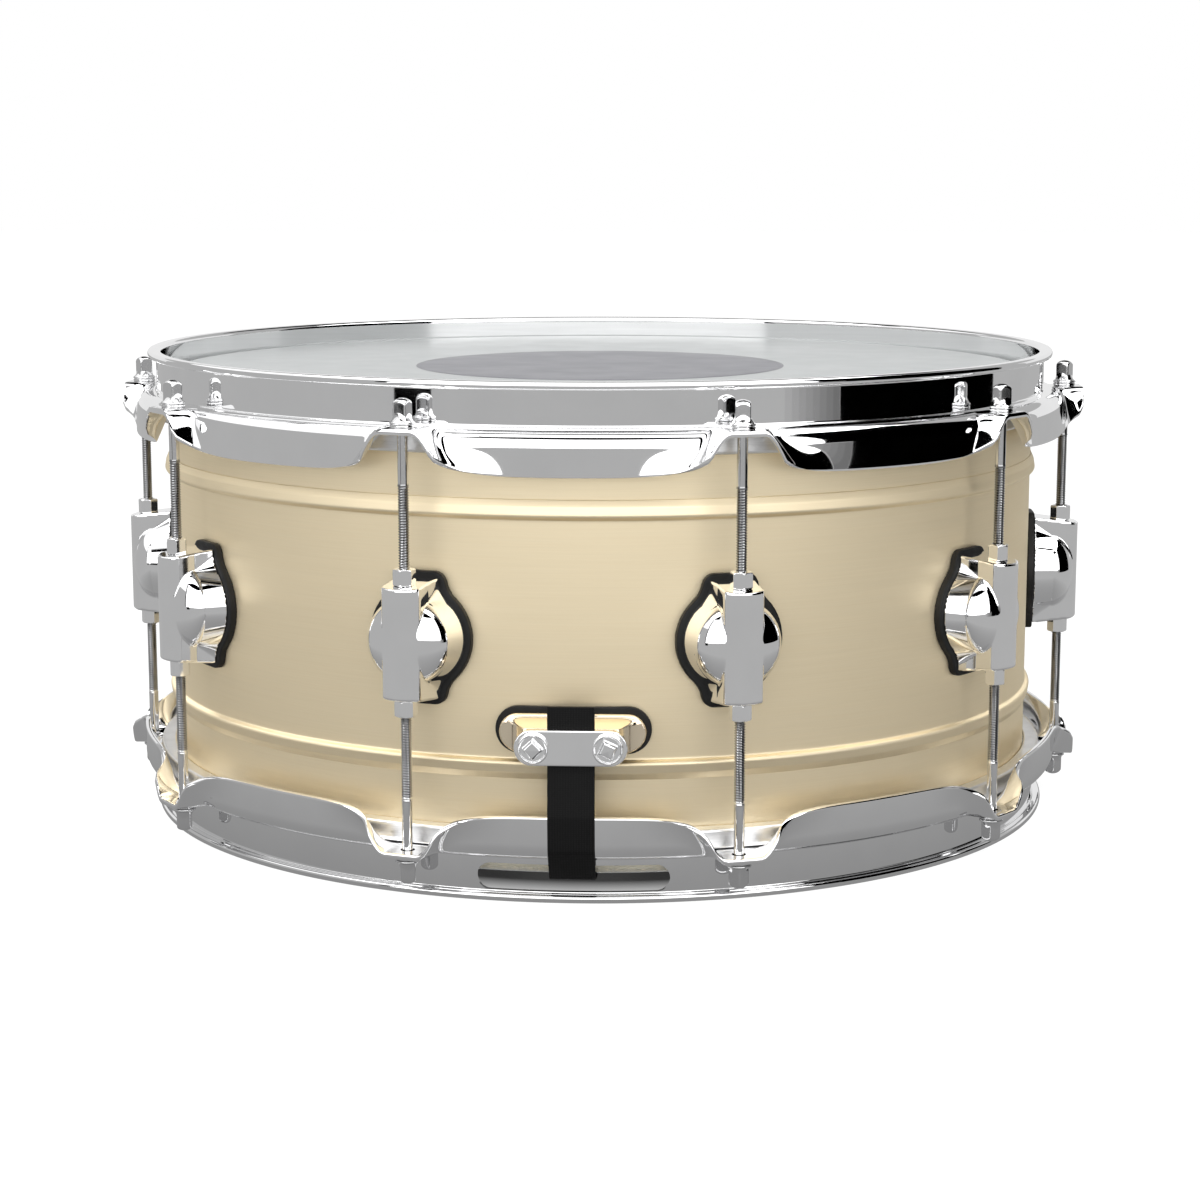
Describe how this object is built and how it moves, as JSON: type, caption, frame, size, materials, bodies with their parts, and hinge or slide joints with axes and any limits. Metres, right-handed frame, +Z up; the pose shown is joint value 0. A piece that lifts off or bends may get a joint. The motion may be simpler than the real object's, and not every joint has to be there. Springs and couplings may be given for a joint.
{
  "type": "snare drum",
  "caption": "Brass shell snare drum with chromed flanged hoops, key rods, tube lugs, strapped coil snare wires, butt plate and throw-off strainer.",
  "frame": {"origin": "on the drum's axis, in the plane of the lower (snare side) rim", "axes": "+Z up along the drum's axis from the snare side to the batter side; -Y towards the butt plate, +Y towards the strainer"},
  "size_m": [0.3986, 0.3967, 0.1868],
  "materials": {
    "shell_brass": "brushed, clear coated, lightly antiqued",
    "hoop_chrome": "polished plate on steel",
    "fitting_chrome": "polished plate",
    "rod_steel": "polished plate on steel",
    "zinc_steel": "zinc plated",
    "snare_steel": "bright wire",
    "flesh_hoop_aluminium": "mill finish",
    "batter_film": "coated polyester film",
    "snare_side_film": "clear polyester film",
    "dot_film": "matt centre patch",
    "gasket_rubber": "matt black",
    "strap_nylon": "black nylon strap"
  },
  "bodies": {
    "drum": {"air_vent_grommet": "fitting_chrome", "batter_flesh_hoop": "flesh_hoop_aluminium", "batter_head_dot": "dot_film", "batter_head_film": "batter_film", "batter_hoop": "hoop_chrome", "butt_base_plate": "fitting_chrome", "butt_clamp_plate": "fitting_chrome", "butt_clamp_screws": "fitting_chrome", "butt_gasket": "gasket_rubber", "butt_mounting_screws": "zinc_steel", "butt_strap": "strap_nylon", "lower_rod_washers": "fitting_chrome", "lower_swivel_nuts": "fitting_chrome", "lug_casings": "fitting_chrome", "lug_gaskets": "gasket_rubber", "lug_mounting_screws": "zinc_steel", "mounting_screw_washers": "zinc_steel", "shell": "shell_brass", "snare_side_flesh_hoop": "flesh_hoop_aluminium", "snare_side_head_film": "snare_side_film", "snare_side_hoop": "hoop_chrome", "strainer_gasket": "gasket_rubber", "strainer_housing": "fitting_chrome", "strainer_mounting_screws": "zinc_steel", "strainer_pivot_screws": "fitting_chrome", "strainer_strap": "strap_nylon", "upper_rod_washers": "fitting_chrome", "upper_swivel_nuts": "fitting_chrome"},
    "upper_rod_01": {"upper_rod_01": "rod_steel"},
    "upper_rod_02": {"upper_rod_02": "rod_steel"},
    "upper_rod_03": {"upper_rod_03": "rod_steel"},
    "upper_rod_04": {"upper_rod_04": "rod_steel"},
    "upper_rod_05": {"upper_rod_05": "rod_steel"},
    "upper_rod_06": {"upper_rod_06": "rod_steel"},
    "upper_rod_07": {"upper_rod_07": "rod_steel"},
    "upper_rod_08": {"upper_rod_08": "rod_steel"},
    "upper_rod_09": {"upper_rod_09": "rod_steel"},
    "upper_rod_10": {"upper_rod_10": "rod_steel"},
    "lower_rod_01": {"lower_rod_01": "rod_steel"},
    "lower_rod_02": {"lower_rod_02": "rod_steel"},
    "lower_rod_03": {"lower_rod_03": "rod_steel"},
    "lower_rod_04": {"lower_rod_04": "rod_steel"},
    "lower_rod_05": {"lower_rod_05": "rod_steel"},
    "lower_rod_06": {"lower_rod_06": "rod_steel"},
    "lower_rod_07": {"lower_rod_07": "rod_steel"},
    "lower_rod_08": {"lower_rod_08": "rod_steel"},
    "lower_rod_09": {"lower_rod_09": "rod_steel"},
    "lower_rod_10": {"lower_rod_10": "rod_steel"},
    "throw_lever": {"throw_lever": "fitting_chrome"},
    "strap_carriage": {"strap_carriage": "fitting_chrome"},
    "tension_knob": {"tension_knob": "fitting_chrome"},
    "strap_clamp": {"strap_clamp_block": "fitting_chrome", "strap_clamp_plate": "fitting_chrome", "strap_clamp_screws": "fitting_chrome"},
    "snare_wires": {"snare_strands": "snare_steel", "snare_end_clips": "snare_steel", "butt_strap_tail": "strap_nylon", "strainer_strap_tail": "strap_nylon"}
  },
  "joints": [
    {"name": "upper_rod_01_turn", "type": "hinge", "parent": "drum", "child": "upper_rod_01", "pos_m": [0.05933, -0.1826, 0.094], "axis": [0, 0, 1], "continuous": true},
    {"name": "upper_rod_02_turn", "type": "hinge", "parent": "drum", "child": "upper_rod_02", "pos_m": [0.15533, -0.11285, 0.094], "axis": [0, 0, 1], "continuous": true},
    {"name": "upper_rod_03_turn", "type": "hinge", "parent": "drum", "child": "upper_rod_03", "pos_m": [0.192, 0, 0.094], "axis": [0, 0, 1], "continuous": true},
    {"name": "upper_rod_04_turn", "type": "hinge", "parent": "drum", "child": "upper_rod_04", "pos_m": [0.15533, 0.11285, 0.094], "axis": [0, 0, 1], "continuous": true},
    {"name": "upper_rod_05_turn", "type": "hinge", "parent": "drum", "child": "upper_rod_05", "pos_m": [0.05933, 0.1826, 0.094], "axis": [0, 0, 1], "continuous": true},
    {"name": "upper_rod_06_turn", "type": "hinge", "parent": "drum", "child": "upper_rod_06", "pos_m": [-0.05933, 0.1826, 0.094], "axis": [0, 0, 1], "continuous": true},
    {"name": "upper_rod_07_turn", "type": "hinge", "parent": "drum", "child": "upper_rod_07", "pos_m": [-0.15533, 0.11285, 0.094], "axis": [0, 0, 1], "continuous": true},
    {"name": "upper_rod_08_turn", "type": "hinge", "parent": "drum", "child": "upper_rod_08", "pos_m": [-0.192, 0, 0.094], "axis": [0, 0, 1], "continuous": true},
    {"name": "upper_rod_09_turn", "type": "hinge", "parent": "drum", "child": "upper_rod_09", "pos_m": [-0.15533, -0.11285, 0.094], "axis": [0, 0, 1], "continuous": true},
    {"name": "upper_rod_10_turn", "type": "hinge", "parent": "drum", "child": "upper_rod_10", "pos_m": [-0.05933, -0.1826, 0.094], "axis": [0, 0, 1], "continuous": true},
    {"name": "lower_rod_01_turn", "type": "hinge", "parent": "drum", "child": "lower_rod_01", "pos_m": [0.05933, -0.1826, 0.094], "axis": [0, 0, 1], "continuous": true},
    {"name": "lower_rod_02_turn", "type": "hinge", "parent": "drum", "child": "lower_rod_02", "pos_m": [0.15533, -0.11285, 0.094], "axis": [0, 0, 1], "continuous": true},
    {"name": "lower_rod_03_turn", "type": "hinge", "parent": "drum", "child": "lower_rod_03", "pos_m": [0.192, 0, 0.094], "axis": [0, 0, 1], "continuous": true},
    {"name": "lower_rod_04_turn", "type": "hinge", "parent": "drum", "child": "lower_rod_04", "pos_m": [0.15533, 0.11285, 0.094], "axis": [0, 0, 1], "continuous": true},
    {"name": "lower_rod_05_turn", "type": "hinge", "parent": "drum", "child": "lower_rod_05", "pos_m": [0.05933, 0.1826, 0.094], "axis": [0, 0, 1], "continuous": true},
    {"name": "lower_rod_06_turn", "type": "hinge", "parent": "drum", "child": "lower_rod_06", "pos_m": [-0.05933, 0.1826, 0.094], "axis": [0, 0, 1], "continuous": true},
    {"name": "lower_rod_07_turn", "type": "hinge", "parent": "drum", "child": "lower_rod_07", "pos_m": [-0.15533, 0.11285, 0.094], "axis": [0, 0, 1], "continuous": true},
    {"name": "lower_rod_08_turn", "type": "hinge", "parent": "drum", "child": "lower_rod_08", "pos_m": [-0.192, 0, 0.094], "axis": [0, 0, 1], "continuous": true},
    {"name": "lower_rod_09_turn", "type": "hinge", "parent": "drum", "child": "lower_rod_09", "pos_m": [-0.15533, -0.11285, 0.094], "axis": [0, 0, 1], "continuous": true},
    {"name": "lower_rod_10_turn", "type": "hinge", "parent": "drum", "child": "lower_rod_10", "pos_m": [-0.05933, -0.1826, 0.094], "axis": [0, 0, 1], "continuous": true},
    {"name": "throw_lever_swing", "type": "hinge", "parent": "drum", "child": "throw_lever", "pos_m": [0, 0.19, 0.068], "axis": [-1, 0, 0], "range_deg": [0, 90]},
    {"name": "carriage_slide", "type": "slide", "parent": "drum", "child": "strap_carriage", "axis": [0, 0, -1], "range_m": [0, 0.00801], "deforming": ["strainer_strap"]},
    {"name": "tension_knob_turn", "type": "hinge", "parent": "strap_carriage", "child": "tension_knob", "pos_m": [0, 0.19, 0.086], "axis": [0, 0, 1], "range_deg": [-721, 721]},
    {"name": "strap_clamp_slide", "type": "slide", "parent": "strap_carriage", "child": "strap_clamp", "axis": [0, 0, 1], "range_m": [-0.0016, 0.0016]},
    {"name": "snare_wires_drop", "type": "slide", "parent": "drum", "child": "snare_wires", "axis": [0, 0, -1], "range_m": [0, 0.00251]}
  ],
  "couplings": [
    {"joint": "carriage_slide", "follows": "throw_lever_swing", "m_per_rad": 0.005093},
    {"joint": "snare_wires_drop", "follows": "throw_lever_swing", "m_per_rad": 0.0015915},
    {"joint": "tension_knob_turn", "follows": "strap_clamp_slide", "rad_per_m": -7854}
  ]
}
